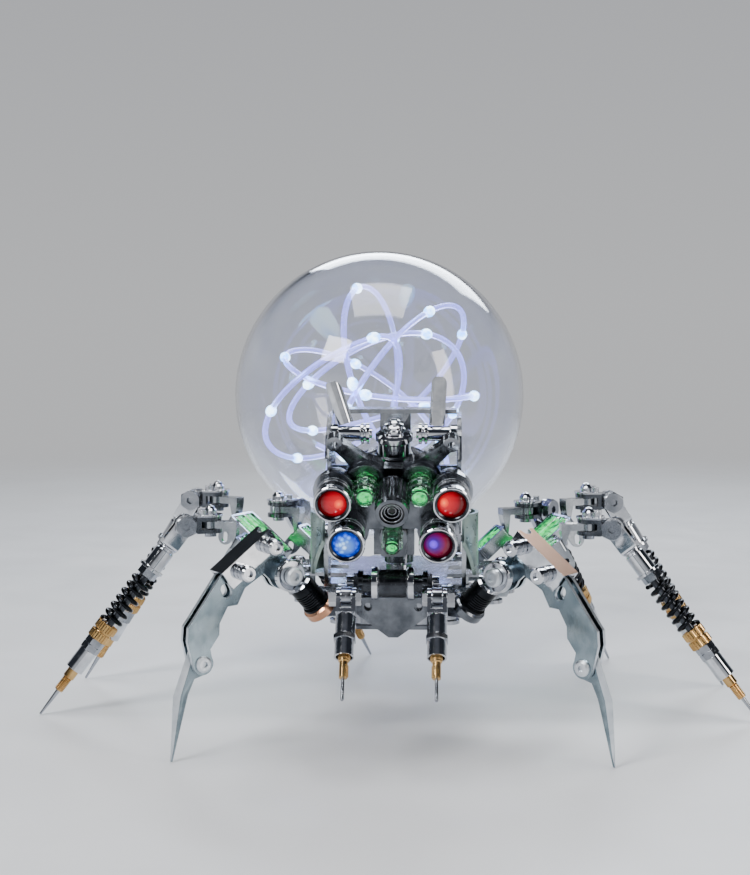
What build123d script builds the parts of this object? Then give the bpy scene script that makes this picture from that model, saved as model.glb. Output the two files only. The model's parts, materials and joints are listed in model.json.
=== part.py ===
from build123d import *
import os
from math import acos, atan2, cos, degrees, hypot, pi, radians, sin, tan

# A metal spider lamp: four pairs of jointed legs and a pair of short pedipalps on a plate chassis,
# a nodding head with lensed eyes, and a clear globe abdomen that turns at the waist.
# The spider faces -Y and stands on z = 0. The right side is +X, and the left side mirrors it.

# ---- fits -------------------------------------------------------------------------------------
RUN = 0.07                 # radial clearance of a pin in its bearing
GAP = 0.3                  # air between two pieces that move past each other
PIN_R = 1.5                # hip pins and knee bolts

# ---- chassis ----------------------------------------------------------------------------------
PLATE = 1.2                # sheet thickness of the two body plates
LOWER_Z = 38.8             # underside of the lower body plate
HIP_Z = 44.2               # middle of the gap between the plates, where the hips turn
HIP_H = 8.0                # height of a hip barrel
PLATE_GAP = HIP_H + 2 * 0.2
UPPER_Z = HIP_Z + PLATE_GAP / 2
TOP_Z = UPPER_Z + PLATE
ARM_R = 4.4                # half width of the plate arm that carries a hip
SPINE = [(12, -62), (14, -46), (17, -24), (18, 4), (10, 20)]
WAIST = (0, -4)            # the pin that the abdomen turns on
WAIST_PIN_R = 2.0
NOD_Y, NOD_Z = -44, 66     # the axis that the head nods on

# ---- spring legs ------------------------------------------------------------------------------
CAGE_W, SHORT_CAGE_W = 14.4, 8.4   # the hind legs' short cage holds one vial, the others two
CAGE_H, SHEET = 5.0, 1.0
VIAL_R = 2.8
CAGE_START = 9.5           # from the hip pin to the cage, along its slope
CAGE_STOP = 11.0           # from the cage's outer end to the knee swivel
BLOCK_R = 4.0              # half width of the knee block
BOLT_OUT = 9.0             # from the knee swivel to the knee bolt
SHIN = 82.1                # from the knee bolt to the centre of the foot's ball end
BALL_R = 0.4
SPRING_TOP, SPRING_TURNS, SPRING_PITCH = -22.6, 6.5, 3.0
WIRE_R, COIL_R = 0.75, 3.4

# name, side, hip x and y, knee swivel x and y, knee height, azimuth of the shin from +X
SPRING_LEGS = [
    ("leg2_right", 1, (32, -14), (66.3, -9.7), 65.0, -14.9),
    ("leg2_left", -1, (32, -14), (66.3, -9.7), 65.0, -14.9),
    ("leg3_right", 1, (37, 6), (68.1, 21.9), 70.0, 6.7),
    ("leg3_left", -1, (37, 6), (68.1, 21.9), 70.0, 6.7),
    ("leg4_right", 1, (22, 16), (46, 25), 66.0, 51.7),
    ("leg4_left", -1, (22, 16), (46, 25), 66.0, 123.4),
]

# ---- blade legs: drawn in the leg's own upright plane, r outwards and z up ----------------------
BLADE_HIP = (16.8, -50.2)
BLADE_AZ = -36.0           # azimuth of the leg's plane from +X
KNEE_R, KNEE_Z = 20.0, 56.0        # the knee bolt, r counted from the hip pin
BLADE_N = -6.9             # the blade's middle plane, behind the thigh's disc
BLADE_T, SIDE_T = 1.5, 1.3
CHANNEL_W = 8.6
FOLD = (48.8, 30.0)        # the blade's pivot, r and z

# ---- pedipalps --------------------------------------------------------------------------------
PALP_BOLT = (14, -77, 52)
PALP_TILT = 39.0           # forwards from hanging straight down

# ---- head -------------------------------------------------------------------------------------
EYE_TILT, TUBE_TILT = 17.0, 26.0   # how far the barrels and the light tubes point down
EYE_R, EYE_LEN = 5.4, 19.0
BEZEL_R = 6.0
RED_EYES = [(18.4, -77, 80.6), (-18.4, -77, 80.6)]
BLUE_EYE = (-14.2, -77, 68)
VIOLET_EYE = (14.2, -77, 68)
TUBES = [(8.5, -75, 82.4, 3.7), (-8.5, -75, 82.4, 3.7), (0, -77, 67, 3.0)]
TUBE_LEN = 17.0
SNOUT, SNOUT_R, SNOUT_LEN = (0, -78, 78), 5.1, 14.0
SOCKET_BACK = 14.0         # from the front of a light tube to the face bracket, along its axis
HEAD_HALF = 20.0           # half width of the head between its side plates
CHEEK_X = HEAD_HALF + 1.5 + GAP       # inner face of the chassis uprights that carry the head
AXLE_AT = (-56, 101)       # y and z of the cross axle that the horns stand on
HORNS = [((-15.4, -56, 104.2), (-19.8, -56, 117.6)), ((13.6, -56, 103.7), (14.4, -56, 119.4))]
CROWN_AT, CROWN_TILT = (0, -54.4, 94.6), 18.0

# ---- abdomen ----------------------------------------------------------------------------------
GLOBE_AT = (-10.2, 72, 105.8)
GLOBE_R, GLOBE_WALL = 57.5, 1.5
NECK_R, NECK_END = 15.0, 61.0      # the globe's neck and how far it reaches from the centre
STRAND_R = 1.1


# ---- helpers ----------------------------------------------------------------------------------
def turned(profile):
    """A turned solid from its half outline: (radius, height) points round the z axis."""
    with BuildPart() as piece:
        with BuildSketch(Plane.XZ):
            with BuildLine():
                Polyline(*profile, close=True)
            make_face()
        revolve(axis=Axis.Z)
    return piece.part


def ring(outer, inner, low, high):
    """A plain collar from low to high on the z axis, solid when inner is 0."""
    with BuildPart() as piece:
        with BuildSketch(Plane.XY.offset(low)):
            Circle(outer)
            if inner:
                Circle(inner, mode=Mode.SUBTRACT)
        extrude(amount=high - low)
    return piece.part


def hex_nut(flats, bore, low, high):
    """A hexagon nut with turned corners, on the z axis."""
    corner = flats / 2 / cos(pi / 6)
    crown = corner - flats / 2
    with BuildPart() as piece:
        with BuildSketch(Plane.XY.offset(low)):
            RegularPolygon(corner, 6)
            if bore:
                Circle(bore, mode=Mode.SUBTRACT)
        extrude(amount=high - low)
        with BuildSketch(Plane.XZ):
            with BuildLine():
                Polyline((flats / 2, high), (corner + 1, high), (corner + 1, high - crown - 0.5), close=True)
            make_face()
        revolve(axis=Axis.Z, mode=Mode.SUBTRACT)
    return piece.part


def outline(points, low, high, plane=Plane.XY, holes=()):
    """A flat plate: a closed outline extruded from low to high off the plane, with round holes."""
    with BuildPart() as piece:
        with BuildSketch(plane.offset(low)):
            with BuildLine():
                Polyline(*points, close=True)
            make_face()
            for x, y, r in holes:
                with Locations((x, y)):
                    Circle(r, mode=Mode.SUBTRACT)
        extrude(amount=high - low)
    return piece.part


def along_y(piece):
    """Lay a piece drawn on the z axis along the y axis, its top towards -y."""
    return piece.moved(Location((0, 0, 0), (90, 0, 0)))


def mirrored(piece):
    return mirror(piece, about=Plane.YZ)


def hex_bolt(flats, head, half, nut_flats, nut):
    """A knee bolt along z: hexagon head with a socket above, shank, and a nut below."""
    with BuildPart() as bolt:
        with BuildSketch(Plane.XY.offset(-half - nut)):
            Circle(PIN_R)
        extrude(amount=2 * half + nut)
        add(hex_nut(flats, 0, half, half + head))
        with BuildSketch(Plane.XY.offset(half + head)):
            RegularPolygon(1.4, 6)
        extrude(amount=-1.3, mode=Mode.SUBTRACT)
    return [bolt.part, hex_nut(nut_flats, PIN_R, -half - nut, -half)]


# ---- chassis ----------------------------------------------------------------------------------
def body_plate(low, waist_hole):
    """One of the two body plates: a tapered spine with an arm out to each hip."""
    hips = [BLADE_HIP] + [leg[2] for leg in SPRING_LEGS if leg[1] > 0]
    roots = [(0, -44), (0, -16), (0, -2), (0, 8)]
    with BuildPart() as plate:
        with BuildSketch(Plane.XY.offset(low)):
            with BuildLine():
                Polyline(*SPINE, *[(-x, y) for x, y in reversed(SPINE)], close=True)
            make_face()
            for (hx, hy), (rx, ry) in zip(hips, roots):
                for side in (1, -1):
                    length = hypot(hx - rx, hy - ry)
                    angle = degrees(atan2(hy - ry, side * (hx - rx)))
                    with Locations((side * (hx + rx) / 2, (hy + ry) / 2)):
                        SlotCenterToCenter(length, 2 * ARM_R, rotation=angle)
            for x, y in ((0, -34), (0, -22), (0, 12)):
                with Locations((x, y)):
                    SlotCenterToCenter(6, 3.2, mode=Mode.SUBTRACT)
            if waist_hole:
                with Locations(WAIST):
                    Circle(WAIST_PIN_R, mode=Mode.SUBTRACT)
        extrude(amount=PLATE)
    return plate.part


def keel():
    """The pointed chin plate that hangs at the front of the chassis."""
    upright = Plane(origin=(0, -62.6, 0), x_dir=(1, 0, 0), z_dir=(0, -1, 0))
    points = [(-11.6, UPPER_Z + 1), (-11.6, 44), (-1.5, 36.6), (1.5, 36.6), (11.6, 44), (11.6, UPPER_Z + 1)]
    return outline(points, 0, 1.2, upright, [(-8, 46.4, 1.3), (8, 46.4, 1.3)])


def hip_pin():
    """A hip pin between the plates, with its button head on the upper one."""
    low, high = HIP_Z - PLATE_GAP / 2, HIP_Z + PLATE_GAP / 2
    pin = ring(PIN_R, 0, low, high)
    head = turned([(0, TOP_Z), (2.9, TOP_Z), (2.9, TOP_Z + 0.7), (2.2, TOP_Z + 1.6),
                   (1.1, TOP_Z + 1.9), (1.1, TOP_Z + 1.0), (0, TOP_Z + 1.0)])
    return [pin, head]


def palp_lug():
    """The upright ear at the front of the chassis that a pedipalp's fork straddles."""
    x, y, z = PALP_BOLT
    side = Plane(origin=(x, 0, 0), x_dir=(0, 1, 0), z_dir=(1, 0, 0))
    with BuildPart() as lug:
        with BuildSketch(side.offset(-1.5)):
            with BuildLine():
                Polyline((y, z + 3.2), (y, z - 3.2), (-66, 44), (-59, 42), (-59, UPPER_Z), (-66, 49),
                         close=True)
            make_face()
            with Locations((y, z)):
                Circle(3.2)
                Circle(PIN_R + RUN, mode=Mode.SUBTRACT)
        extrude(amount=3)
    return lug.part


def waist_post():
    """The pin at the waist: the shank, its base flange and the cap that keeps the arm on."""
    post = turned([(0, TOP_Z - PLATE), (WAIST_PIN_R, TOP_Z - PLATE), (WAIST_PIN_R, TOP_Z), (4.6, TOP_Z),
                   (4.6, TOP_Z + 1), (WAIST_PIN_R, TOP_Z + 1), (WAIST_PIN_R, TOP_Z + 14.6),
                   (4.2, TOP_Z + 14.6), (4.2, TOP_Z + 16), (2.4, TOP_Z + 17.4), (0, TOP_Z + 17.8)])
    return post.moved(Location((*WAIST, 0)))


def nod_cheek():
    """The chassis bracket beside the head: a foot on the plate, an upright and the nod bolt."""
    side = Plane(origin=(0, 0, 0), x_dir=(0, 1, 0), z_dir=(1, 0, 0))
    with BuildPart() as cheek:
        with BuildSketch(side.offset(CHEEK_X)):
            with BuildLine():
                Polyline((NOD_Y - 2.4, TOP_Z), (NOD_Y + 9, TOP_Z), (NOD_Y + 4.4, NOD_Z), (NOD_Y - 4.4, NOD_Z),
                         close=True)
            make_face()
            with Locations((NOD_Y, NOD_Z)):
                Circle(4.4)
                Circle(PIN_R, mode=Mode.SUBTRACT)
        extrude(amount=1.5)
        with BuildSketch(Plane.XY.offset(TOP_Z)):
            with Locations(((8 + CHEEK_X) / 2, NOD_Y + 3.3)):
                Rectangle(CHEEK_X - 8 + 0.2, 11.4)
        extrude(amount=1.2)
    return cheek.part


def nod_bolt():
    """The bolt that the head nods on, from outside the cheek to inside the head's side plate."""
    outside = CHEEK_X + 1.5
    bolt = turned([(0, HEAD_HALF - 1.6), (PIN_R, HEAD_HALF - 1.6), (PIN_R, outside), (3.4, outside),
                   (3.4, outside + 1.4), (2.4, outside + 2.2), (1.2, outside + 2.2), (1.2, outside + 1.2),
                   (0, outside + 1.2)])
    return bolt.moved(Location((0, NOD_Y, NOD_Z), (0, 90, 0)))


def cheek_panel():
    """The curved panel of polished sheet beside the head, narrower towards its foot."""
    sheet, foot, top = 1.0, 56.0, 76.0
    with BuildPart() as panel:
        with BuildSketch(Plane.XY.offset(foot)):
            with BuildLine():
                outer = ThreePointArc((22.4, -64), (26.6, -57.4), (CHEEK_X + 1.5 + sheet, -46.4))
                inner = ThreePointArc((CHEEK_X + 1.5, -46.4), (26.6 - sheet, -57.2), (21.6, -63.4))
                Line(outer @ 1, inner @ 0)
                Line(inner @ 1, outer @ 0)
            make_face()
        extrude(amount=top - foot)
        with BuildSketch(Plane.YZ.offset(15)):
            Polygon((-66, foot - 1), (-58, foot - 1), (-66, top - 4), align=None)
        extrude(amount=15, mode=Mode.SUBTRACT)
    return panel.part


def mouth():
    """The mouth: a cross axle with stacked flanges and rollers, in two ears on the chassis."""
    y, z = -66.5, 54.5
    ears = []
    side = Plane(origin=(0, 0, 0), x_dir=(0, 1, 0), z_dir=(1, 0, 0))
    for x in (-12.4, 11.0):
        points = [(-62, TOP_Z), (-56, TOP_Z), (-56, 51), (y + 2.4, z + 2.8), (y - 2.4, z + 2.8),
                  (y - 2.4, z - 2)]
        ears.append(outline(points, x, x + 1.4, side, [(y, z, 1.4)]))
    half = [(5.2, 6.6), (2.9, 6.6), (2.9, 9.4), (4.2, 9.4), (4.2, 11.0), (1.4, 11.0), (1.4, 12.4),
            (2.4, 12.4), (2.4, 14.6), (0, 14.6)]
    profile = [(r, -x) for r, x in reversed(half)] + [(5.2, -4.8), (4.4, -4.2), (4.4, 4.2), (5.2, 4.8)] + half
    roller = turned(profile).moved(Location((0, y, z), (0, 90, 0)))
    return [roller] + ears


# ---- spring leg -------------------------------------------------------------------------------
def femur_cage(reach, rise, width):
    """The upper leg: hip barrel, sloping open cage of sheet, and the tongue at the knee."""
    slope = hypot(reach, rise)
    up = Plane(origin=(0, 0, 0), x_dir=(reach, 0, rise), z_dir=(-rise, 0, reach))
    side = Plane(origin=(0, 0, 0), x_dir=(1, 0, 0), z_dir=(0, -1, 0))
    start, stop = CAGE_START, slope - CAGE_STOP

    def on_slope(along, above):
        return (along * reach - above * rise) / slope, (along * rise + above * reach) / slope

    with BuildPart() as cage:
        with BuildSketch(up.offset(-CAGE_H / 2)):
            with Locations(((start + stop) / 2, 0)):
                RectangleRounded(stop - start, width, 1.4)
                RectangleRounded(stop - start - 2 * SHEET, width - 2 * SHEET, 0.5, mode=Mode.SUBTRACT)
        extrude(amount=CAGE_H)
        with BuildSketch(side.offset(-2)):
            with BuildLine():
                Polyline((1.8, -3.2), (5.6, -3.2), on_slope(start + 0.4, -1.8),
                         on_slope(start + 0.4, 1.6), (5.2, 3.4), (1.8, 3.4), close=True)
            make_face()
        extrude(amount=4)
        with BuildSketch(side.offset(-2.3)):
            with BuildLine():
                Polyline(on_slope(stop - 0.4, -0.5), on_slope(stop - 0.4, -1.7),
                         (reach - 6.8, rise - 1.1), (reach - 10, rise - 1.1), close=True)
            make_face()
        extrude(amount=4.6)
        with BuildSketch(Plane.XY.offset(rise - 1.2)):
            with Locations((reach, 0)):
                Circle(3.2)
            with Locations((reach - 5, 0)):
                Rectangle(10, 4.6)
        extrude(amount=2.4)
        with BuildSketch(Plane.XY.offset(-HIP_H / 2)):
            Circle(3.2)
        extrude(amount=HIP_H)
        with BuildSketch(Plane.XY.offset(-HIP_H)):
            Circle(PIN_R + RUN)
        extrude(amount=2 * HIP_H, mode=Mode.SUBTRACT)
        with BuildSketch(Plane.XY.offset(rise - 3)):
            with Locations((reach, 0)):
                Circle(1.25 + RUN)
        extrude(amount=6, mode=Mode.SUBTRACT)
        tab = Plane(origin=(0, -width / 2 + SHEET, 0), x_dir=(reach, 0, rise), z_dir=(0, -1, 0))
        with BuildSketch(tab):
            with Locations((stop - 2.9, -5.6)):
                Circle(2.9)
                with Locations((0, 2)):
                    Rectangle(5.8, 4)
                SlotCenterToCenter(1.6, 2.4, rotation=60, mode=Mode.SUBTRACT)
        extrude(amount=SHEET)
    return cage.part


def femur_vials(reach, rise, width):
    """The clear tubes with green cores, side by side in the cage."""
    slope = hypot(reach, rise)
    low, high = CAGE_START + SHEET, slope - CAGE_STOP - SHEET
    tubes = []
    for y in (-2.95, 2.95) if width == CAGE_W else (0,):
        place = Plane(origin=(0, y, 0), x_dir=(0, 1, 0), z_dir=(reach, 0, rise)).location
        tubes.append(ring(VIAL_R, 2.2, low + 0.6, high - 0.6).moved(place))
        for start, stop in ((low, low + 2), (low + 2, high - 2.5), (high - 2.5, high)):
            tubes.append(ring(2.2, 0, start, stop).moved(place))
    return tubes


def knee_block():
    """The block that swivels on the cage's tongue, with its screws and chrome cover plate."""
    with BuildPart() as block:
        with BuildSketch(Plane.XY.offset(-2.9)):
            Circle(BLOCK_R)
            with Locations((2.55, 0)):
                Rectangle(5.1, 2 * BLOCK_R)
        extrude(amount=5.8)
        with BuildSketch(Plane.XY.offset(-1.5)):
            with Locations((-3.2, 0)):
                Rectangle(13.6, 12)
        extrude(amount=3, mode=Mode.SUBTRACT)
        with BuildSketch(Plane.XZ.offset(-2)):
            with Locations((BOLT_OUT, 0)):
                Circle(3)
            with Locations((BOLT_OUT - 2.2, 0)):
                Rectangle(4.4, 5.8)
            with Locations((BOLT_OUT, 0)):
                Circle(PIN_R + RUN, mode=Mode.SUBTRACT)
        extrude(amount=4)
        with BuildSketch(Plane.XY.offset(-4)):
            Circle(1.25)
        extrude(amount=8, mode=Mode.SUBTRACT)
    with BuildPart() as cover:
        with BuildSketch(Plane.XY.offset(2.9)):
            Circle(BLOCK_R + 0.4)
            with Locations((2.4, 0)):
                Rectangle(5, 2 * BLOCK_R + 0.8)
            Circle(1.25, mode=Mode.SUBTRACT)
        extrude(amount=0.7)
    screw = turned([(0, -4.3), (2.1, -4.3), (2.1, -2.9), (1.25, -2.9), (1.25, 3.6), (2.3, 3.6),
                    (2.3, 5.0), (1.7, 5.7), (1.3, 6.4), (0, 6.9)])
    heads = [ring(1.15, 0, 3.6, 5.3).moved(Location((3.0, y, 0))) for y in (-2.9, 2.9)]
    return [block.part, cover.part, screw] + heads


def shin():
    """The lower leg, hanging from its bolt: clevis, sleeve, coil spring on its rod, and nuts."""
    inner, outer, crown = 2.35, 3.95, -9.6
    with BuildPart() as clevis:
        for y in (inner, -outer):
            with BuildSketch(Plane.XZ.offset(-y)):
                Circle(3.6)
                with Locations((0, crown / 2)):
                    Rectangle(6.2, -crown)
                Circle(PIN_R, mode=Mode.SUBTRACT)
            extrude(amount=-(outer - inner))
        with BuildSketch(Plane.XY.offset(crown)):
            Rectangle(6.2, 2 * outer)
        extrude(amount=1.6)
        fillet(clevis.edges().filter_by(Axis.X).group_by(Axis.Z)[0], 1.2)
    bolt = [along_y(piece) for piece in hex_bolt(7.0, 2.6, outer, 5.5, 2.2)]
    screw = turned([(0, crown + 1.6), (2.2, crown + 1.6), (2.2, crown + 2.8), (1.4, crown + 3.3),
                    (0, crown + 3.3)])
    sleeve = turned([(0, -18.6), (3.5, -18.6), (3.5, -11.4), (3.1, -11.0), (3.1, -10.4), (3.5, -10.0),
                     (3.5, crown), (0, crown)])
    washer = ring(4.6, 0, -19.6, -18.6)
    top_nut = hex_nut(6.2, 1.6, -22.4, -19.6)
    rod = ring(1.6, 0, -63.0, -19.6)
    with BuildPart() as spring:
        with BuildLine():
            wire = Helix(pitch=SPRING_PITCH, height=SPRING_TURNS * SPRING_PITCH, radius=COIL_R,
                         center=(0, 0, SPRING_TOP - SPRING_TURNS * SPRING_PITCH - WIRE_R))
        with BuildSketch(Plane(origin=wire @ 0, z_dir=wire % 0)):
            Circle(WIRE_R)
        sweep(is_frenet=True)
    brass = [ring(3.8, 1.6, -46.4, -43.4), ring(3.2, 1.6, -47.0, -46.4), ring(3.8, 1.6, -50.0, -47.0)]
    nuts = [hex_nut(6.0, 1.6, -52.4, -50.0), hex_nut(6.0, 1.6, -54.8, -52.4)]
    standoff = ring(3.2, 1.6, -63.0, -54.8)
    return [clevis.part] + bolt + [screw, sleeve, washer, top_nut, rod,
                                   spring.part] + brass + nuts + [standoff]


def foot():
    """The stepped brass end of the leg and its needle, which stands on a small ball end."""
    brass = turned([(0, -63), (2.0, -63), (2.0, -66.4), (1.5, -66.8), (1.5, -72), (0, -72)])
    with BuildPart() as needle:
        add(turned([(0, -72), (0.8, -72), (BALL_R, -SHIN), (0, -SHIN)]))
        with Locations((0, 0, -SHIN)):
            Sphere(BALL_R)
    return [brass, needle.part]


class SpringLeg:
    """Where one spring leg's pieces go at rest, worked out on the right side."""

    def __init__(self, name, side, hip, swivel, knee_z, azimuth):
        self.name, self.side = name, side
        self.reach = hypot(swivel[0] - hip[0], swivel[1] - hip[1])
        self.rise = knee_z - HIP_Z
        self.hip = Plane(origin=(*hip, HIP_Z), x_dir=(swivel[0] - hip[0], swivel[1] - hip[1], 0),
                         z_dir=(0, 0, 1))
        ux, uy = cos(radians(azimuth)), sin(radians(azimuth))
        self.swivel = Plane(origin=(*swivel, knee_z), x_dir=(ux, uy, 0), z_dir=(0, 0, 1))
        tilt = acos((knee_z - BALL_R) / SHIN)
        bolt = (swivel[0] + BOLT_OUT * ux, swivel[1] + BOLT_OUT * uy, knee_z)
        self.knee = Plane(origin=bolt, x_dir=(cos(tilt) * ux, cos(tilt) * uy, sin(tilt)),
                          z_dir=(-sin(tilt) * ux, -sin(tilt) * uy, cos(tilt)))

    def pieces(self):
        """Node name to its pieces, each at its place."""
        width = SHORT_CAGE_W if self.name.startswith("leg4") else CAGE_W
        made = {
            "femur_cage": (self.hip, [femur_cage(self.reach, self.rise, width)]),
            "femur_vials": (self.hip, femur_vials(self.reach, self.rise, width)),
            "knee_block": (self.swivel, knee_block()),
            "shin": (self.knee, shin()),
            "foot": (self.knee, foot()),
        }
        return {f"{self.name}_{part}": placed(pieces, plane.location, self.side)
                for part, (plane, pieces) in made.items()}


def placed(pieces, location, side):
    """Right-hand pieces at their place, mirrored for the left side."""
    moved = [piece.moved(location) for piece in pieces]
    return moved if side > 0 else [mirrored(piece) for piece in moved]


# ---- blade leg --------------------------------------------------------------------------------
BLADE_U = (cos(radians(BLADE_AZ)), sin(radians(BLADE_AZ)))
BLADE_PLANE = Plane(origin=(*BLADE_HIP, 0), x_dir=(*BLADE_U, 0), z_dir=(BLADE_U[1], -BLADE_U[0], 0))
KNEE_SLOPE = atan2(KNEE_Z - HIP_Z, KNEE_R - 9.0)
RING_AT = (9.0, HIP_Z + 0.7)


def thigh():
    """The blade leg's upper part: hip barrel, cup ring, ribbed tube and the knee disc."""
    upright = Plane(origin=(0, 0, 0), x_dir=(1, 0, 0), z_dir=(0, -1, 0))
    with BuildPart() as neck:
        with BuildSketch(Plane.XY.offset(HIP_Z - HIP_H / 2)):
            Circle(3.2)
        extrude(amount=HIP_H)
        with BuildSketch(Plane.XY.offset(HIP_Z - 2.6)):
            with Locations((4.6, 0)):
                Rectangle(5.8, 4.6)
        extrude(amount=5.2)
        with BuildSketch(Plane.XY.offset(HIP_Z - HIP_H)):
            Circle(PIN_R + RUN)
        extrude(amount=2 * HIP_H, mode=Mode.SUBTRACT)
    length = hypot(KNEE_R - RING_AT[0], KNEE_Z - RING_AT[1])
    tube = [(0, -1.5), (5.5, -1.5), (5.5, 1.0), (4.7, 1.5), (4.7, 2.4), (4.25, 2.4)]
    ribs, pitch = 7, 0.85
    for i in range(ribs):
        z = 2.4 + i * pitch
        tube += [(4.25, z + 0.45), (3.85, z + 0.55), (3.85, z + 0.75), (4.25, z + pitch)]
    tube += [(4.25, length - 4.4), (3.4, length - 3.8), (0, length - 3.8)]
    axis = Plane(origin=(RING_AT[0], 0, RING_AT[1]), x_dir=(0, 1, 0),
                 z_dir=(cos(KNEE_SLOPE), 0, sin(KNEE_SLOPE)))
    barrel = turned(tube).moved(axis.location)
    with BuildPart() as disc:
        with BuildSketch(upright.offset(-0.8)):
            with Locations((KNEE_R, KNEE_Z)):
                Circle(5.2)
                Circle(PIN_R + RUN, mode=Mode.SUBTRACT)
        extrude(amount=2)
        chamfer(disc.edges().filter_by(GeomType.CIRCLE).group_by(Axis.Y)[0].sort_by(SortBy.LENGTH)[-1], 0.5)
    to_hip = Plane(origin=(*BLADE_HIP, 0), x_dir=(*BLADE_U, 0), z_dir=(0, 0, 1)).location
    return [piece.moved(to_hip) for piece in (neck.part, barrel, disc.part)]


CHANNEL_TOP = ((25.7, 71.0), (42.9, 58.4))     # the channel's top face, from its upper end down


def channel():
    """The polished U channel on the outer leg, notched at its upper end, with its spacers."""
    (r0, z0), (r1, z1) = CHANNEL_TOP
    length = hypot(r1 - r0, z1 - z0)
    tr, tz = (r1 - r0) / length, (z1 - z0) / length
    nr, nz = tz, -tr
    depth, sheet = 6.6, 1.0
    low, high = BLADE_N - CHANNEL_W / 2, BLADE_N + CHANNEL_W / 2
    with BuildPart() as body:
        with BuildSketch(BLADE_PLANE.offset(low)):
            with BuildLine():
                Polyline((r0, z0), (r1, z1), (r1 + depth * nr, z1 + depth * nz),
                         (r0 + depth * nr, z0 + depth * nz), close=True)
            make_face()
        extrude(amount=CHANNEL_W)
        with BuildSketch(BLADE_PLANE.offset(low + sheet)):
            with BuildLine():
                Polyline((r0 + sheet * nr - 2 * tr, z0 + sheet * nz - 2 * tz),
                         (r1 + sheet * nr + 2 * tr, z1 + sheet * nz + 2 * tz),
                         (r1 + 9 * nr + 2 * tr, z1 + 9 * nz + 2 * tz),
                         (r0 + 9 * nr - 2 * tr, z0 + 9 * nz - 2 * tz), close=True)
            make_face()
        extrude(amount=CHANNEL_W - 2 * sheet, mode=Mode.SUBTRACT)
        corner = BLADE_PLANE.from_local_coords(Vector(r0, z0, BLADE_N))
        face = BLADE_PLANE.from_local_coords(Vector(r0 - nr, z0 - nz, BLADE_N)) - corner
        with BuildSketch(Plane(origin=corner, z_dir=face)):
            Circle(2.3)
        extrude(amount=1.6, both=True, mode=Mode.SUBTRACT)
    spacers = []
    for along, down, reach in ((3.4, 4.0, 5.2), (15.6, 4.6, 4.4)):
        r, z = r0 + along * tr + down * nr, z0 + along * tz + down * nz
        base = Plane(origin=BLADE_PLANE.from_local_coords(Vector(r, z, high)), z_dir=BLADE_PLANE.z_dir)
        spacer = turned([(0, 0), (2.7, 0), (2.7, 0.9), (2.2, 0.9), (2.2, 1.5), (2.6, 1.9), (2.6, reach - 0.6),
                         (2.1, reach), (1.2, reach), (1.2, reach - 1), (0, reach - 1)])
        spacers.append(spacer.moved(base.location))
    return [body.part] + spacers


def side_plate(low):
    """One of the pair of leg plates: knee lobe, scalloped inner edge, round pivot end."""
    edge = [(20.0, 61.0), (24.8, 68.6), (27.4, 68.2), (42.6, 56.9), (51.8, 44.5), (53.8, 42.0), (54.2, 37.5),
            (52.4, 30.0), (45.4, 30.0), (46.3, 34.4), (43.1, 38.6), (42.9, 42.3), (40.0, 47.3), (36.5, 47.5),
            (33.8, 52.6), (27.0, 56.6), (22.0, 52.0)]
    with BuildPart() as plate:
        with BuildSketch(BLADE_PLANE.offset(low)):
            with BuildLine():
                Polyline(*edge, close=True)
            make_face()
            with Locations((KNEE_R, KNEE_Z)):
                Circle(5.0)
            with Locations(FOLD):
                Circle(3.5)
            with Locations((40.5, 52.4)):
                SlotCenterToCenter(1.4, 3.4, rotation=65, mode=Mode.SUBTRACT)
            with Locations(FOLD, (KNEE_R, KNEE_Z)):
                Circle(PIN_R, mode=Mode.SUBTRACT)
        extrude(amount=SIDE_T)
    return plate.part


def leg_plates():
    """The two plates with the knee bolt, its spacer and the pivot screw of the blade."""
    air = GAP
    front = BLADE_N + BLADE_T / 2 + air
    back = BLADE_N - BLADE_T / 2 - air - SIDE_T
    near, far = front + SIDE_T, back
    knee = Plane(origin=BLADE_PLANE.from_local_coords(Vector(KNEE_R, KNEE_Z, 0)), z_dir=BLADE_PLANE.z_dir)
    bolt = turned([(0, far), (PIN_R, far), (PIN_R, 1.6), (2.9, 1.6), (2.9, 3.2), (2.3, 3.8), (1.3, 3.8),
                   (1.3, 2.6), (0, 2.6)])
    nut = hex_nut(5.5, 0, far - 2.0, far)
    spacer = turned([(PIN_R, near), (3.0, near), (3.0, near + 0.7), (2.6, near + 0.9), (2.6, -1.3),
                     (2.2, -1.1),
                     (PIN_R, -1.1)])
    fold = Plane(origin=BLADE_PLANE.from_local_coords(Vector(*FOLD, 0)), z_dir=BLADE_PLANE.z_dir)
    screw = turned([(0, far), (PIN_R, far), (PIN_R, near), (2.6, near), (2.6, near + 0.7), (1.9, near + 1.3),
                    (0.9, near + 1.3), (0.9, near + 0.5), (0, near + 0.5)])
    cap = turned([(0, far - 1.2), (1.9, far - 1.2), (2.4, far - 0.7), (2.4, far), (0, far)])
    pieces = [side_plate(front), side_plate(back)]
    pieces += [piece.moved(knee.location) for piece in (bolt, nut, spacer)]
    pieces += [piece.moved(fold.location) for piece in (screw, cap)]
    return pieces


def blade():
    """The knife-shaped foot, ground to a bevel along its outer edge, standing on its point."""
    edge = [(47.5, 41.0), (50.6, 40.2), (58.2, 20.5), (59.4, 0.0), (58.7, 0.0), (53.3, 20.5), (51.0, 25.2),
            (46.0, 26.6), (45.2, 33.0)]
    with BuildPart() as knife:
        with BuildSketch(BLADE_PLANE.offset(BLADE_N - BLADE_T / 2)):
            with BuildLine():
                Polyline(*edge, close=True)
            make_face()
            with Locations(FOLD):
                Circle(3.6)
                Circle(PIN_R + RUN, mode=Mode.SUBTRACT)
        extrude(amount=BLADE_T)
    return [knife.part]


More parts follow.
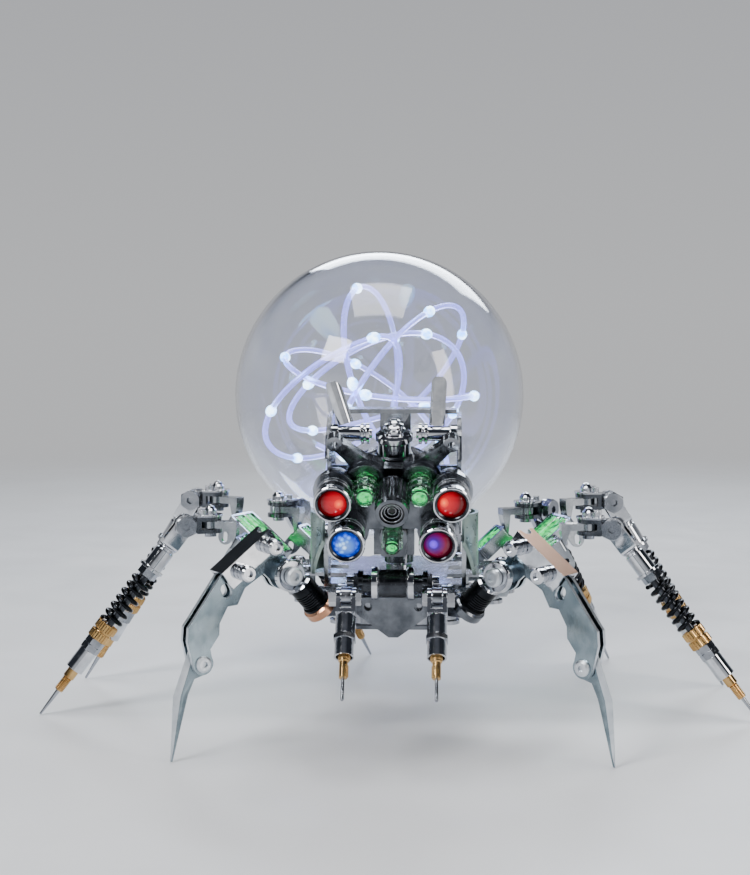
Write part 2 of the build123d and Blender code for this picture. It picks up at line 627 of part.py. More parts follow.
# ---- pedipalp ---------------------------------------------------------------------------------
def palp():
    """A short arm, drawn hanging from its bolt along y: fork, bolt, barrels and hex collar."""
    inner, outer = 1.8, 3.0
    with BuildPart() as fork:
        for y in (inner, -outer):
            with BuildSketch(Plane.XZ.offset(-y)):
                Circle(2.9)
                with Locations((0, -3.2)):
                    Rectangle(5.0, 6.4)
                Circle(PIN_R, mode=Mode.SUBTRACT)
            extrude(amount=-(outer - inner))
        with BuildSketch(Plane.XY.offset(-6.4)):
            Rectangle(5.0, 2 * outer)
        extrude(amount=1.4)
    bolt = [along_y(piece) for piece in hex_bolt(4.6, 1.6, outer, 5.0, 2.4)]
    upper = turned([(0, -13.4), (3.1, -13.4), (3.1, -7.0), (2.7, -6.4), (0, -6.4)])
    collar = hex_nut(6.6, 0, -15.0, -13.4)
    lower = turned([(0, -15), (3.05, -15), (3.05, -20.6), (2.5, -20.6), (2.5, -18.4), (0, -18.4)])
    return [fork.part] + bolt + [upper, collar, lower]


def palp_tip():
    """The stepped brass end and the fine needle of a pedipalp."""
    brass = turned([(0, -18.4), (1.65, -18.4), (1.65, -22.0), (1.3, -22.2), (1.3, -27.4), (0, -27.4)])
    needle = turned([(0, -27.4), (0.55, -27.4), (0.55, -34.4), (0.35, -34.8), (0, -34.8)])
    return [brass, needle]


tilt = radians(PALP_TILT)
PALP_PLANE = Plane(origin=PALP_BOLT, x_dir=(0, -cos(tilt), sin(tilt)), z_dir=(0, sin(tilt), cos(tilt)))


# ---- head -------------------------------------------------------------------------------------
def facing(front, down):
    """A plane at the front of a barrel that points forwards and down by an angle in degrees."""
    angle = radians(down)
    return Plane(origin=front, x_dir=(1, 0, 0), z_dir=(0, -cos(angle), -sin(angle)))


def eye_barrel():
    """The dark drum of one eye, with its proud bezel, and hollow in front for the lens."""
    return turned([(0, -EYE_LEN), (EYE_R - 1.4, -EYE_LEN), (EYE_R - 0.4, -EYE_LEN + 0.8),
                   (EYE_R, -EYE_LEN + 2.4),
                   (EYE_R, -2.6), (BEZEL_R, -2.3), (BEZEL_R, -0.3), (BEZEL_R - 0.3, 0), (5.1, 0), (4.5, -0.7),
                   (4.5, -3.2), (0, -3.2)])


def eye_lens():
    """A domed lens seated in a barrel."""
    rim, rise = 4.5, 2.0
    dome = (rim**2 + rise**2) / (2 * rise)
    with BuildPart() as lens:
        with BuildSketch(Plane.XY.offset(-3.2)):
            Circle(rim)
        extrude(amount=6)
        with Locations((0, 0, 0.8 - dome)):
            Sphere(dome, mode=Mode.INTERSECT)
    return lens.part


def face_bracket():
    """The X-shaped cast bracket: two round sockets, hollow sides and four arms to its bolts."""
    x, y, z, r = TUBES[0]
    angle = radians(TUBE_TILT)
    middle = (0, y + SOCKET_BACK * cos(angle), z + SOCKET_BACK * sin(angle))
    face = facing(middle, TUBE_TILT)
    arms = [(18.2, 12.0), (16.4, -3.0)]
    with BuildPart() as bracket:
        with BuildSketch(face.offset(-1.8)):
            with Locations((x, 0), (-x, 0)):
                Circle(6.6)
            Rectangle(2 * x, 7)
            for side in (1, -1):
                for ax, ay in arms:
                    with BuildLine():
                        Polyline((side * (x - 2.6), -5), (side * (x - 2.6), 5), (side * ax, ay + 2.4),
                                 (side * ax, ay - 2.4),
                                 close=True)
                    make_face()
                    with Locations((side * ax, ay)):
                        Circle(2.6)
            for ax, ay in arms:
                with Locations((ax, ay), (-ax, ay)):
                    Circle(1.1, mode=Mode.SUBTRACT)
        extrude(amount=3.6)
        with BuildSketch(face.offset(-3)):
            with Locations((x, 0), (-x, 0)):
                Circle(6.0)
        extrude(amount=7.3)
        with BuildSketch(face.offset(-4)):
            with Locations((x, 0), (-x, 0)):
                Circle(r)
        extrude(amount=10, mode=Mode.SUBTRACT)
        for at in RED_EYES:
            with BuildSketch(facing(at, EYE_TILT).offset(-EYE_LEN - 4)):
                Circle(EYE_R)
            extrude(amount=EYE_LEN + 4, mode=Mode.SUBTRACT)
    return bracket.part


def eye_plate():
    """The plate that holds the eye barrels, the snout and the lower light tube, bored for each."""
    with BuildPart() as plate:
        base = facing((0, -77 + 13 * cos(radians(EYE_TILT)), 74.3 + 13 * sin(radians(EYE_TILT))), EYE_TILT)
        with BuildSketch(base):
            with Locations((18.4, 6.6), (-18.4, 6.6), (14.2, -6.6), (-14.2, -6.6)):
                Circle(EYE_R + 1.2)
            Rectangle(30, 12)
            with Locations((0, -9.4)):
                Circle(4.4)
        extrude(amount=2.4)
        barrels = [(at, EYE_R, EYE_TILT) for at in RED_EYES + [BLUE_EYE, VIOLET_EYE]]
        barrels += [(SNOUT, SNOUT_R, TUBE_TILT)] + [((x, y, z), r, TUBE_TILT) for x, y, z, r in TUBES]
        for at, radius, down in barrels:
            with BuildSketch(facing(at, down).offset(-30)):
                Circle(radius)
            extrude(amount=29, mode=Mode.SUBTRACT)
    return plate.part


def head_side():
    """A side plate of the head, with the hole that it nods on."""
    side = Plane(origin=(0, 0, 0), x_dir=(0, 1, 0), z_dir=(1, 0, 0))
    points = [(-66.5, 93.6), (-62, 101), (-54, 106), (-42, 107), (-38, 100), (-38, 78),
              (NOD_Y + 4.4, NOD_Z - 1),
              (NOD_Y + 2, 61.4), (NOD_Y - 3, 61.4), (-50, 68), (-57.4, 80), (-57.4, 92.2)]
    return outline(points, HEAD_HALF, HEAD_HALF + 1.5, side,
                   [(NOD_Y, NOD_Z, PIN_R + RUN), (-52, 97, 3.0), (-48, 84, 2.2)])


def head_frame():
    """Face bracket, side plates, roof plate and the core block that carries the barrels."""
    with BuildPart() as roof:
        with BuildSketch(Plane.XY.offset(107)):
            with BuildLine():
                Polyline((-HEAD_HALF, -52), (-9, -49.4), (9, -49.4), (HEAD_HALF, -52), (HEAD_HALF, -43),
                         (12, -38),
                         (-12, -38), (-HEAD_HALF, -43), close=True)
            make_face()
        extrude(amount=1.4)
    side = Plane(origin=(0, 0, 0), x_dir=(0, 1, 0), z_dir=(1, 0, 0))
    core = outline([(-56.4, 88), (-53, 90), (-41, 90), (-41, 70), (-46, 62), (-56.4, 62)], -6.5, 6.5, side)
    nose = outline([(-63, 62.4), (-56.4, 62.4), (-56.4, 69), (-63, 69)], -4, 4, side)
    spreader = outline([(-48, 74), (-43.6, 74), (-43.6, 90), (-48, 90)], -HEAD_HALF, -6.5, side)
    pillar = outline([(-44.6, 90), (-41, 90), (-41, 107), (-44.6, 107)], -5, 5, side)
    sides = [head_side(), mirrored(head_side())]
    return [face_bracket(), eye_plate(), roof.part, core, nose, spreader, mirrored(spreader), pillar] + sides


def crown():
    """The turret on the forehead, and the cross axle with rollers that the horns stand on."""
    top = Plane(origin=CROWN_AT, x_dir=(1, 0, 0),
                z_dir=(0, -sin(radians(CROWN_TILT)), cos(radians(CROWN_TILT))))
    drum = turned([(0, -2.4), (6.4, -2.4), (6.4, -1.2), (5.9, -0.8), (5.9, 0), (5.3, 0.5), (5.3, 4.4),
                   (6.0, 5.0),
                   (6.0, 6.6), (5.0, 7.4), (3.6, 7.6), (3.6, 8.6), (3.0, 9.0), (3.0, 9.8), (1.9, 10.2),
                   (1.9, 11.2), (1.1, 11.6), (1.1, 10.6), (0, 10.6)])
    pieces = [drum.moved(top.location)]
    profile = [(0, 7.0), (1.6, 7.0), (1.6, 7.8), (3.4, 7.8), (3.4, 8.8), (2.6, 9.0), (2.6, 9.6), (3.4, 9.8),
               (3.4, 10.6), (2.4, 10.8), (2.4, 17.8), (3.0, 18.0), (3.0, HEAD_HALF), (0, HEAD_HALF)]
    roller = turned(profile).moved(Location((0, *AXLE_AT), (0, 90, 0)))
    return pieces + [roller, mirrored(roller)]




def horn(base, tip):
    """A thin open tube, cut off on a slant at its upper end."""
    lean = Vector(*tip) - Vector(*base)
    axis = Plane(origin=base, x_dir=(0, 1, 0), z_dir=lean)
    length = lean.length
    with BuildPart() as tube:
        with BuildSketch(axis):
            Circle(2.5)
            Circle(1.9, mode=Mode.SUBTRACT)
        extrude(amount=length)
        middle = axis.from_local_coords(Vector(0, 0, length - 2.6))
        cut = Plane(origin=middle, x_dir=(1, 0, 0), z_dir=(0, 0.75, 0.66))
        split(bisect_by=cut, keep=Keep.BOTTOM)
    return tube.part


def light_tube(r, length):
    """A clear sleeve with a green core in it, on the z axis behind its front at z = 0."""
    core = turned([(0, -length), (r - 1.3, -length), (r - 1.3, -1.2), (r - 1.9, -0.7), (r - 1.9, -1.6),
                   (0, -1.6)])
    sleeve = turned([(r - 1.3, -length), (r, -length), (r, -6.6), (r - 0.6, -6.0), (r - 0.6, -0.2),
                     (r - 0.8, 0),
                     (r - 1.3, 0)])
    return [sleeve, core]


def snout():
    """The knurled centre barrel, open in front for its lens rings."""
    flutes = 24
    with BuildPart() as barrel:
        with BuildSketch(Plane.XY.offset(-SNOUT_LEN)):
            Circle(SNOUT_R)
        extrude(amount=SNOUT_LEN)
        with BuildSketch(Plane.XY.offset(-SNOUT_LEN + 3)):
            with PolarLocations(SNOUT_R + 0.1, flutes):
                Circle(0.35)
        extrude(amount=SNOUT_LEN - 6.0, mode=Mode.SUBTRACT)
        with BuildSketch(Plane.XY):
            Circle(SNOUT_R - 1.2)
        extrude(amount=-4.0, mode=Mode.SUBTRACT)
    return barrel.part


def snout_lens():
    """The dark lens with its stepped rings."""
    bore = SNOUT_R - 1.2
    return turned([(0, -4.0), (bore, -4.0), (bore, -0.4), (bore - 0.7, -0.4), (bore - 0.9, -1.2),
                   (bore - 1.6, -1.2),
                   (bore - 1.8, -2.0), (1.2, -1.6), (0, -1.3)])


# ---- abdomen ----------------------------------------------------------------------------------
WAIST_AT = Vector(*WAIST, TOP_Z + 8)
TO_WAIST = (WAIST_AT - Vector(*GLOBE_AT)).normalized()
GLOBE_PLANE = Plane(origin=GLOBE_AT, x_dir=(1, 0, 0), z_dir=TO_WAIST)


def globe():
    """The clear ball with its short open neck, drawn with the neck along z."""
    inside = GLOBE_R - GLOBE_WALL
    with BuildPart() as ball:
        Sphere(GLOBE_R)
        with BuildSketch(Plane.XY.offset(50)):
            Circle(NECK_R)
        extrude(amount=NECK_END - 50)
        Sphere(inside, mode=Mode.SUBTRACT)
        with BuildSketch(Plane.XY.offset(40)):
            Circle(NECK_R - GLOBE_WALL)
        extrude(amount=NECK_END - 40, mode=Mode.SUBTRACT)
    return ball.part


def abdomen_arm():
    """The collar that grips the globe's neck, and the arm from it to the waist pin."""
    collar = turned([(NECK_R, 56.6), (18.6, 56.6), (19.2, 57.2), (19.2, 59.0), (18.4, 59.6), (18.4, 63.0),
                     (17.0, 64.0), (0, 64.0), (0, NECK_END), (NECK_R, NECK_END)])
    collar = collar.moved(GLOBE_PLANE.location)
    reach = (WAIST_AT - Vector(*GLOBE_AT)).length
    middle = Vector(*GLOBE_AT) + TO_WAIST * 64
    run = Plane(origin=middle, x_dir=(TO_WAIST.Y, -TO_WAIST.X, 0), z_dir=TO_WAIST)
    with BuildPart() as arm:
        with BuildSketch(run):
            Rectangle(9, 5)
        extrude(amount=reach - 64)
        with BuildSketch(Plane(origin=WAIST_AT, z_dir=(0, 0, 1)).offset(-6.2)):
            Circle(5.2)
        extrude(amount=12.4)
        with BuildSketch(Plane(origin=WAIST_AT, z_dir=(0, 0, 1)).offset(-12)):
            Circle(WAIST_PIN_R + RUN)
        extrude(amount=24, mode=Mode.SUBTRACT)
        with BuildSketch(Plane(origin=WAIST_AT, z_dir=(0, 0, 1)).offset(6.2)):
            Circle(6)
        extrude(amount=6, mode=Mode.SUBTRACT)
        with BuildSketch(Plane(origin=WAIST_AT, z_dir=(0, 0, 1)).offset(-6.2)):
            Circle(6)
        extrude(amount=-6, mode=Mode.SUBTRACT)
    return [collar, arm.part]


# the light string: loops wound inside the globe, each on a smaller sphere and a turned plane
LOOPS, STEPS = 5, 12
OUTER_LOOP, LOOP_STEP = 51.5, 3.4


def string_route():
    """The route's points: in through the neck, then loop after loop round the inside."""
    points = [(0.0, 0.0, 60.0), (-2.0, 3.0, 44.0)]
    for i in range(LOOPS * STEPS):
        turn = i / STEPS
        radius = OUTER_LOOP - LOOP_STEP * turn
        swing = radians(360 * turn + 60)
        lean, yaw = radians(28 + 31 * turn), radians(20 + 47 * turn)
        x, y = radius * cos(swing), radius * sin(swing)
        y, z = y * cos(lean), y * sin(lean)
        points.append((x * cos(yaw) - y * sin(yaw), x * sin(yaw) + y * cos(yaw), z))
    return points


def light_string():
    """The milky strand, as straight runs joined by arcs as large as the runs allow."""
    route = [Vector(*p) for p in string_route()]
    radii = []
    for a, b, c in zip(route, route[1:], route[2:]):
        turn = radians((b - a).get_angle(c - b))
        radii.append(0.45 * min((b - a).length, (c - b).length) / tan(turn / 2))
    print("light string: smallest arc", round(min(radii), 1), "mm")
    with BuildPart() as strand:
        with BuildLine():
            path = FilletPolyline(*route, radius=radii)
        with BuildSketch(Plane(origin=path @ 0, z_dir=path % 0)):
            Circle(STRAND_R)
        sweep()
    length = path.length
    print("light string:", round(length), "mm long, volume over section times length",
          round(strand.part.volume / (length * pi * STRAND_R**2), 4))
    return strand.part, path


def light_beads(line):
    """The small moulded lamps along the strand."""
    beads = []
    count = 24
    for i in range(count):
        where = 0.05 + 0.94 * i / (count - 1)
        with BuildPart() as bead:
            Sphere(2.1)
        beads.append(bead.part.moved(Plane(origin=line @ where, z_dir=line % where).location))
    return beads


# ---- assembly ---------------------------------------------------------------------------------
def assembly():
    """Every node's name and its pieces at rest, in the design frame."""
    nodes = {}
    nodes["body_plates"] = [body_plate(LOWER_Z, False), body_plate(UPPER_Z, True), keel()]
    posts = []
    for x, y in [BLADE_HIP] + [leg[2] for leg in SPRING_LEGS if leg[1] > 0]:
        for piece in hip_pin():
            posts += [piece.moved(Location((x, y, 0))), piece.moved(Location((-x, y, 0)))]
    for x, y in ((9, -58), (-9, -58), (9, -30), (-9, -30), (9, 10), (-9, 10)):
        post = hex_nut(5.5, 0, HIP_Z - PLATE_GAP / 2, HIP_Z + PLATE_GAP / 2)
        posts.append(post.moved(Location((x, y, 0))))
    posts += [waist_post(), palp_lug(), mirrored(palp_lug())]
    nodes["chassis_posts"] = posts
    cheeks = [nod_cheek(), nod_bolt(), cheek_panel()]
    nodes["cheek_panels"] = cheeks + [mirrored(piece) for piece in cheeks]
    nodes["mouth_rollers"] = mouth()

    nodes["head_frame"] = head_frame()
    nodes["crown"] = crown()
    nodes["horns"] = [horn(base, tip) for base, tip in HORNS]
    tubes = []
    for x, y, z, r in TUBES:
        length = TUBE_LEN if x else TUBE_LEN + 4
        tubes += [piece.moved(facing((x, y, z), TUBE_TILT).location) for piece in light_tube(r, length)]
    nodes["light_tubes"] = tubes
    nodes["eye_barrels"] = [eye_barrel().moved(facing(at, EYE_TILT).location)
                            for at in RED_EYES + [BLUE_EYE, VIOLET_EYE]]
    nodes["red_eye_lenses"] = [eye_lens().moved(facing(at, EYE_TILT).location) for at in RED_EYES]
    nodes["blue_eye_lens"] = [eye_lens().moved(facing(BLUE_EYE, EYE_TILT).location)]
    nodes["violet_eye_lens"] = [eye_lens().moved(facing(VIOLET_EYE, EYE_TILT).location)]
    nodes["snout_barrel"] = [snout().moved(facing(SNOUT, TUBE_TILT).location)]
    nodes["snout_lens"] = [snout_lens().moved(facing(SNOUT, TUBE_TILT).location)]

    nodes["abdomen_arm"] = abdomen_arm()
    nodes["globe"] = [globe().moved(GLOBE_PLANE.location)]
    strand, line = light_string()
    nodes["light_string"] = [strand.moved(GLOBE_PLANE.location)]
    nodes["light_beads"] = [bead.moved(GLOBE_PLANE.location) for bead in light_beads(line)]

    for row in SPRING_LEGS:
        nodes.update(SpringLeg(*row).pieces())
    for side, word in ((1, "right"), (-1, "left")):
        for name, pieces in (("thigh", thigh()), ("channel", channel()), ("plates", leg_plates()),
                             ("blade", blade())):
            nodes[f"leg1_{word}_{name}"] = placed(pieces, Location((0, 0, 0)), side)
        for name, pieces in (("palp", palp()), ("palp_tip", palp_tip())):
            nodes[f"{word}_{name}"] = placed(pieces, PALP_PLANE.location, side)
    return nodes


nodes = assembly()
boxes = [piece.bounding_box() for pieces in nodes.values() for piece in pieces]
low = [min(tuple(box.min)[axis] for box in boxes) for axis in range(3)]
high = [max(tuple(box.max)[axis] for box in boxes) for axis in range(3)]
ORIGIN = ((low[0] + high[0]) / 2, (low[1] + high[1]) / 2, low[2])
print("origin in the design frame", [round(v, 3) for v in ORIGIN])
print("overall size", [round(b - a, 1) for a, b in zip(low, high)])

os.makedirs("parts", exist_ok=True)
to_origin = Location((-ORIGIN[0], -ORIGIN[1], -ORIGIN[2]))
for name, pieces in nodes.items():
    node = Compound(label=name, children=[piece.moved(to_origin) for piece in pieces])
    export_step(node, f"parts/{name}.step")
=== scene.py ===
import json
from math import cos, hypot, pi, radians, sin

import bmesh
import bpy
from mathutils import Matrix, Vector


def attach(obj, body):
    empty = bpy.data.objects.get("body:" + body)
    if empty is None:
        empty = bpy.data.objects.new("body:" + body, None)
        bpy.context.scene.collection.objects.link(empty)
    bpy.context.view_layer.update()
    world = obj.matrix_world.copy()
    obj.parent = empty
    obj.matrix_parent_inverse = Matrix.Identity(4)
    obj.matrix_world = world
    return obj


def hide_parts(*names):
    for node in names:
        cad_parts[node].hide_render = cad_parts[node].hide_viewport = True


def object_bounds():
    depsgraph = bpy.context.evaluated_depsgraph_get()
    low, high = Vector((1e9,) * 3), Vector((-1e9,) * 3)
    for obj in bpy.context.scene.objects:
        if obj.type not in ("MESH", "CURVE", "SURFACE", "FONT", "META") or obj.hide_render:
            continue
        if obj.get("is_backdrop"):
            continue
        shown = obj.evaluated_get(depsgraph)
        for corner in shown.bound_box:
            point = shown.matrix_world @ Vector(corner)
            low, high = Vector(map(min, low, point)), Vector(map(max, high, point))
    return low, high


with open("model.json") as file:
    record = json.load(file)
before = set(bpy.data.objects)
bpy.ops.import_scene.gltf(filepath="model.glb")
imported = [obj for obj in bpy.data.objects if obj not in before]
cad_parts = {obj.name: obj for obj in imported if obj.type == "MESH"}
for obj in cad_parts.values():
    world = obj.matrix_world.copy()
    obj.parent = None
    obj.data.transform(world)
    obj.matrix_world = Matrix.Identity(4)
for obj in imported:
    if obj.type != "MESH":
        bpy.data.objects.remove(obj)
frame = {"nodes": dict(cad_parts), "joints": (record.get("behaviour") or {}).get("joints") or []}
cad_low, cad_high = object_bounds()
nodes = frame["nodes"]
joints = {joint["name"]: joint for joint in frame["joints"]}

MM = 0.001
# the head's hinge in the design's own frame ties that frame, in mm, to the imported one
DESIGN_ORIGIN = Vector(joints["head_nod"]["pos_m"]) - Vector((0, -44, 66)) * MM


def at(x, y, z):
    """A point of the design, in mm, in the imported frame."""
    return Vector((x, y, z)) * MM + DESIGN_ORIGIN


def basis(origin, z, x):
    """The matrix of a local frame, in mm, with that z axis and x as near as it can be."""
    z = Vector(z).normalized()
    y = z.cross(Vector(x)).normalized()
    x = y.cross(z)
    turn = Matrix((x, y, z)).transposed().to_4x4()
    return Matrix.Translation(origin) @ turn @ Matrix.Scale(MM, 4)


# ---- camera -------------------------------------------------------------------------------------
camera = bpy.data.objects.new("camera", bpy.data.cameras.new("camera"))
bpy.context.scene.collection.objects.link(camera)
camera.location = at(16.5, -554.5, 141.7)
camera.rotation_euler = (radians(90 - 4.81), 0, radians(2.6))
camera.data.lens = 64.5
camera.data.sensor_width = 36
bpy.context.scene.camera = camera


# ---- materials ----------------------------------------------------------------------------------
def shader(name):
    """A new material, its node tree and its Principled node."""
    material = bpy.data.materials.new(name)
    material.use_nodes = True
    tree = material.node_tree
    return material, tree, tree.nodes["Principled BSDF"]


def noise(tree, size, detail=3.0, stretch=(1, 1, 1)):
    """Noise over the object's own coordinates, with spots about size mm across."""
    place = tree.nodes.new("ShaderNodeTexCoord")
    mapping = tree.nodes.new("ShaderNodeMapping")
    mapping.inputs["Scale"].default_value = stretch
    tree.links.new(place.outputs["Object"], mapping.inputs["Vector"])
    texture = tree.nodes.new("ShaderNodeTexNoise")
    texture.inputs["Scale"].default_value = 1 / (size * MM)
    texture.inputs["Detail"].default_value = detail
    tree.links.new(mapping.outputs["Vector"], texture.inputs["Vector"])
    return texture.outputs["Fac"]


def ramp(tree, value, *stops):
    """A colour ramp over value: (position, (r, g, b)) for each stop."""
    node = tree.nodes.new("ShaderNodeValToRGB")
    elements = node.color_ramp.elements
    for _ in range(len(stops) - 2):
        elements.new(0.5)
    for element, (position, colour) in zip(elements, stops):
        element.position = position
        element.color = (*colour, 1)
    tree.links.new(value, node.inputs["Fac"])
    return node.outputs["Color"]


def spread(tree, value, low, high):
    """The value's middle range spread over low to high."""
    node = tree.nodes.new("ShaderNodeMapRange")
    node.inputs["From Min"].default_value = 0.3
    node.inputs["From Max"].default_value = 0.7
    node.inputs["To Min"].default_value = low
    node.inputs["To Max"].default_value = high
    tree.links.new(value, node.inputs["Value"])
    return node.outputs["Result"]


def relief(tree, value, height, strength=0.5):
    """A bump of that height in mm from value, over edges that are softened a little."""
    edge = tree.nodes.new("ShaderNodeBevel")
    edge.samples = 4
    edge.inputs["Radius"].default_value = 0.14 * MM
    node = tree.nodes.new("ShaderNodeBump")
    tree.links.new(edge.outputs["Normal"], node.inputs["Normal"])
    node.inputs["Strength"].default_value = strength
    node.inputs["Distance"].default_value = height * MM
    tree.links.new(value, node.inputs["Height"])
    return node.outputs["Normal"]


def metal(name, dark, light, rough, grain=0.02, stretch=(1, 1, 1), spot=5.0):
    """Bare metal: cloudy tone, uneven polish and a fine surface grain, drawn out if stretched."""
    material, tree, surface = shader(name)
    surface.inputs["Metallic"].default_value = 1.0
    tone = ramp(tree, noise(tree, spot), (0.3, dark), (0.7, light))
    tree.links.new(tone, surface.inputs["Base Color"])
    polish = spread(tree, noise(tree, 1.6, 5.0, stretch), *rough)
    tree.links.new(polish, surface.inputs["Roughness"])
    tree.links.new(relief(tree, noise(tree, 0.5, 4.0, stretch), grain), surface.inputs["Normal"])
    return material


def glass(name, tint, rough=0.02, glow=None, strength=0.0, ior=1.45):
    """Clear or tinted glass with faint unevenness, lit from inside if it has a glow."""
    material, tree, surface = shader(name)
    surface.inputs["Transmission Weight"].default_value = 1.0
    surface.inputs["IOR"].default_value = ior
    brighter = tuple(min(1, c * 1.05) for c in tint)
    tone = ramp(tree, noise(tree, 12.0), (0.3, tint), (0.7, brighter))
    tree.links.new(tone, surface.inputs["Base Color"])
    tree.links.new(spread(tree, noise(tree, 3.0), rough, rough * 1.8), surface.inputs["Roughness"])
    if glow:
        surface.inputs["Emission Color"].default_value = (*glow, 1)
        surface.inputs["Emission Strength"].default_value = strength
    return material


def lamp(name, centre, halo, strength, size):
    """A glowing piece: bright spots of about size mm in a softer halo colour."""
    material, tree, surface = shader(name)
    colour = ramp(tree, noise(tree, size), (0.35, halo), (0.62, centre))
    tree.links.new(colour, surface.inputs["Base Color"])
    tree.links.new(colour, surface.inputs["Emission Color"])
    surface.inputs["Emission Strength"].default_value = strength
    surface.inputs["Roughness"].default_value = 0.25
    return material


def apart(tree, centre, radius):
    """How far a point of the surface is from centre, as a share of radius in mm."""
    place = tree.nodes.new("ShaderNodeTexCoord")
    distance = tree.nodes.new("ShaderNodeVectorMath")
    distance.operation = "DISTANCE"
    distance.inputs[1].default_value = centre
    tree.links.new(place.outputs["Object"], distance.inputs[0])
    share = tree.nodes.new("ShaderNodeMath")
    share.operation = "DIVIDE"
    share.inputs[1].default_value = radius * MM
    tree.links.new(distance.outputs["Value"], share.inputs[0])
    return share.outputs["Value"]


def lens(name, middle, stops, strength, facets=None):
    """A glossy lens with a glow in rings about middle, broken into small lamps if it has facets."""
    material, tree, surface = shader(name)
    colour = ramp(tree, apart(tree, middle, 5.0), *stops)
    if facets:
        cells = tree.nodes.new("ShaderNodeTexVoronoi")
        cells.inputs["Scale"].default_value = 1 / (facets * MM)
        place = tree.nodes.new("ShaderNodeTexCoord")
        tree.links.new(place.outputs["Object"], cells.inputs["Vector"])
        dots = ramp(tree, cells.outputs["Distance"],
                    (0.1, (1.0, 1.0, 1.0)), (0.55, (0.16, 0.22, 0.40)))
        mix = tree.nodes.new("ShaderNodeMix")
        mix.data_type = "RGBA"
        mix.blend_type = "MULTIPLY"
        mix.inputs["Factor"].default_value = 1.0
        tree.links.new(colour, mix.inputs["A"])
        tree.links.new(dots, mix.inputs["B"])
        colour = mix.outputs["Result"]
    tree.links.new(colour, surface.inputs["Base Color"])
    tree.links.new(colour, surface.inputs["Emission Color"])
    surface.inputs["Emission Strength"].default_value = strength
    surface.inputs["Roughness"].default_value = 0.10
    surface.inputs["Coat Weight"].default_value = 0.25
    surface.inputs["Coat Roughness"].default_value = 0.03
    surface.inputs["Specular IOR Level"].default_value = 0.3
    tree.links.new(relief(tree, noise(tree, 1.2), 0.02), surface.inputs["Normal"])
    return material


CHROME = metal("polished_chrome", (0.50, 0.52, 0.56), (0.80, 0.82, 0.86), (0.03, 0.12), 0.006)
STEEL = metal("satin_steel", (0.24, 0.26, 0.29), (0.44, 0.46, 0.50), (0.12, 0.28), 0.012)
SHEET = metal("brushed_sheet", (0.27, 0.30, 0.33), (0.48, 0.51, 0.54), (0.10, 0.24), 0.014,
              (1, 1, 9))
DARK = metal("dark_steel", (0.028, 0.031, 0.037), (0.085, 0.092, 0.105), (0.12, 0.30), 0.012)
GUN = metal("gunmetal", (0.085, 0.095, 0.11), (0.20, 0.215, 0.24), (0.10, 0.26), 0.012)
BRASS = metal("turned_brass", (0.42, 0.24, 0.08), (0.74, 0.48, 0.20), (0.12, 0.28), 0.012)
COPPER = metal("warm_copper", (0.42, 0.20, 0.11), (0.70, 0.38, 0.24), (0.10, 0.26), 0.012)
# the two channel webs are one polished sheet steel: peach is a painted warm reflection on the right
# web, slate a painted dark reflection on the left
PAINTED_WARM_REFLECTION = metal("painted_warm_reflection_sheet", (0.64, 0.36, 0.23), (0.78, 0.47, 0.32), (0.30, 0.38), 0.002, spot=14.0)
PAINTED_DARK_REFLECTION = metal("painted_dark_reflection_sheet", (0.060, 0.070, 0.082), (0.10, 0.115, 0.135), (0.30, 0.38), 0.002,
              spot=14.0)
EDGE = metal("ground_edge", (0.58, 0.63, 0.68), (0.78, 0.82, 0.86), (0.34, 0.46), 0.003)
TEAL = metal("teal_sheet", (0.15, 0.20, 0.23), (0.30, 0.37, 0.41), (0.12, 0.28), 0.014, (9, 9, 1))
FROST = metal("frosted_panel", (0.20, 0.27, 0.25), (0.36, 0.45, 0.41), (0.24, 0.42), 0.02)
BLACK = metal("black_wire", (0.008, 0.009, 0.011), (0.022, 0.024, 0.028), (0.10, 0.24), 0.01)
CLEAR = glass("clear_glass", (0.88, 0.90, 1.0))
VIAL = glass("vial_glass", (0.72, 0.97, 0.80), 0.03)
GREEN = lamp("green_core", (0.08, 0.85, 0.26), (0.0, 0.20, 0.05), 1.1, 1.6)
STRAND = glass("milky_strand", (0.74, 0.74, 0.95), 0.22, (0.26, 0.28, 1.0), 0.7)
BEAD = lamp("led_bead", (0.70, 0.95, 1.0), (0.12, 0.42, 1.0), 7.0, 3.0)
LENS_BLACK = glass("black_lens", (0.02, 0.02, 0.03), 0.04)


# ---- pieces in mesh code ------------------------------------------------------------------------
def piece(name, shape, material, body):
    """Makes the object of a bmesh, smooth but for its sharp edges, and lets it ride on its body."""
    bmesh.ops.recalc_face_normals(shape, faces=shape.faces)
    data = bpy.data.meshes.new(name)
    shape.to_mesh(data)
    shape.free()
    data.shade_smooth()
    data.set_sharp_from_angle(angle=radians(32))
    for each in material if isinstance(material, list) else [material]:
        data.materials.append(each)
    obj = bpy.data.objects.new(name, data)
    bpy.context.scene.collection.objects.link(obj)
    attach(obj, body)
    return obj


def lathe(shape, profile, place, segments=48):
    """Turns a closed profile of (radius, height) in mm about the z axis of place."""
    rows = []
    for i in range(segments):
        a = 2 * pi * i / segments
        rows.append([shape.verts.new(place @ Vector((r * cos(a), r * sin(a), z)))
                     for r, z in profile])
    for here, after in zip(rows, rows[1:] + rows[:1]):
        for j in range(len(profile)):
            k = (j + 1) % len(profile)
            corners = [here[j], after[j], after[k], here[k]]
            if profile[j][0] == 0:
                corners = [here[j], after[k], here[k]]
            if profile[k][0] == 0:
                corners = [here[j], after[j], here[k]]
            if profile[j][0] == 0 and profile[k][0] == 0:
                continue
            shape.faces.new(corners)
    bmesh.ops.remove_doubles(shape, verts=shape.verts, dist=0.001 * MM)


def threads(shape, place, inner, outer, start, pitch, count):
    """Rings like a screw's thread, from start upwards on the z axis of place."""
    crest_low, crest_high, width = 0.16, 0.24, 0.4
    for i in range(count):
        low = start + i * pitch
        lathe(shape, [(inner, low), (outer, low + crest_low), (outer, low + crest_high),
                      (inner, low + width)], place, 32)


